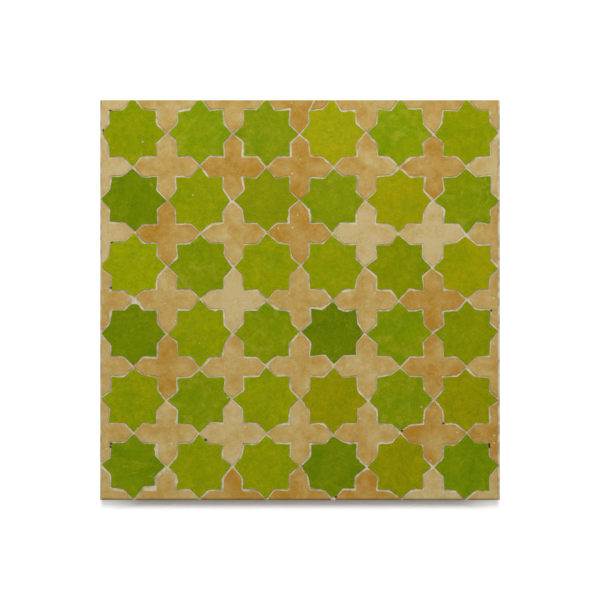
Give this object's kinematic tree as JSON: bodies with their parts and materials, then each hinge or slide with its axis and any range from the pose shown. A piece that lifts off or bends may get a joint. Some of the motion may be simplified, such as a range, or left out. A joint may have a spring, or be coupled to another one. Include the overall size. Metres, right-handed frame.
{
  "type": "moroccan mosaic tile",
  "caption": "Square mosaic floor or wall tile: green glazed eight-pointed stars and sandy unglazed crosses, cut by hand and cast into a pale mortar bed.",
  "frame": {"origin": "centre of the back face, on the surface that the tile lies on", "axes": "+Z out of the patterned face, +Y to the top edge of the picture, +X to its right edge"},
  "size_m": [0.3048, 0.3048, 0.019],
  "materials": {
    "glaze_dark_leaf": "satin",
    "glaze_leaf": "satin",
    "glaze_lime": "satin",
    "glaze_olive": "satin",
    "terracotta": "matte",
    "mortar": "matte"
  },
  "bodies": {
    "root": {"star_r1_c1": "glaze_lime", "star_r1_c2": "glaze_leaf", "star_r1_c3": "glaze_leaf", "star_r1_c4": "glaze_olive", "star_r1_c5": "glaze_leaf", "star_r1_c6": "glaze_lime", "star_r2_c1": "glaze_dark_leaf", "star_r2_c2": "glaze_lime", "star_r2_c3": "glaze_lime", "star_r2_c4": "glaze_leaf", "star_r2_c5": "glaze_olive", "star_r2_c6": "glaze_leaf", "star_r3_c1": "glaze_lime", "star_r3_c2": "glaze_leaf", "star_r3_c3": "glaze_lime", "star_r3_c4": "glaze_lime", "star_r3_c5": "glaze_lime", "star_r3_c6": "glaze_olive", "star_r4_c1": "glaze_dark_leaf", "star_r4_c2": "glaze_lime", "star_r4_c3": "glaze_leaf", "star_r4_c4": "glaze_dark_leaf", "star_r4_c5": "glaze_leaf", "star_r4_c6": "glaze_lime", "star_r5_c1": "glaze_lime", "star_r5_c2": "glaze_leaf", "star_r5_c3": "glaze_lime", "star_r5_c4": "glaze_olive", "star_r5_c5": "glaze_leaf", "star_r5_c6": "glaze_olive", "star_r6_c1": "glaze_dark_leaf", "star_r6_c2": "glaze_lime", "star_r6_c3": "glaze_lime", "star_r6_c4": "glaze_dark_leaf", "star_r6_c5": "glaze_olive", "star_r6_c6": "glaze_dark_leaf", "crosses_row_1": "terracotta", "crosses_row_2": "terracotta", "crosses_row_3": "terracotta", "crosses_row_4": "terracotta", "crosses_row_5": "terracotta", "half_crosses_top": "terracotta", "half_crosses_bottom": "terracotta", "half_crosses_left": "terracotta", "half_crosses_right": "terracotta", "corner_chip_top_left": "terracotta", "corner_chip_top_right": "terracotta", "corner_chip_bottom_left": "terracotta", "corner_chip_bottom_right": "terracotta", "mortar_bed": "mortar"}
  },
  "joints": []
}
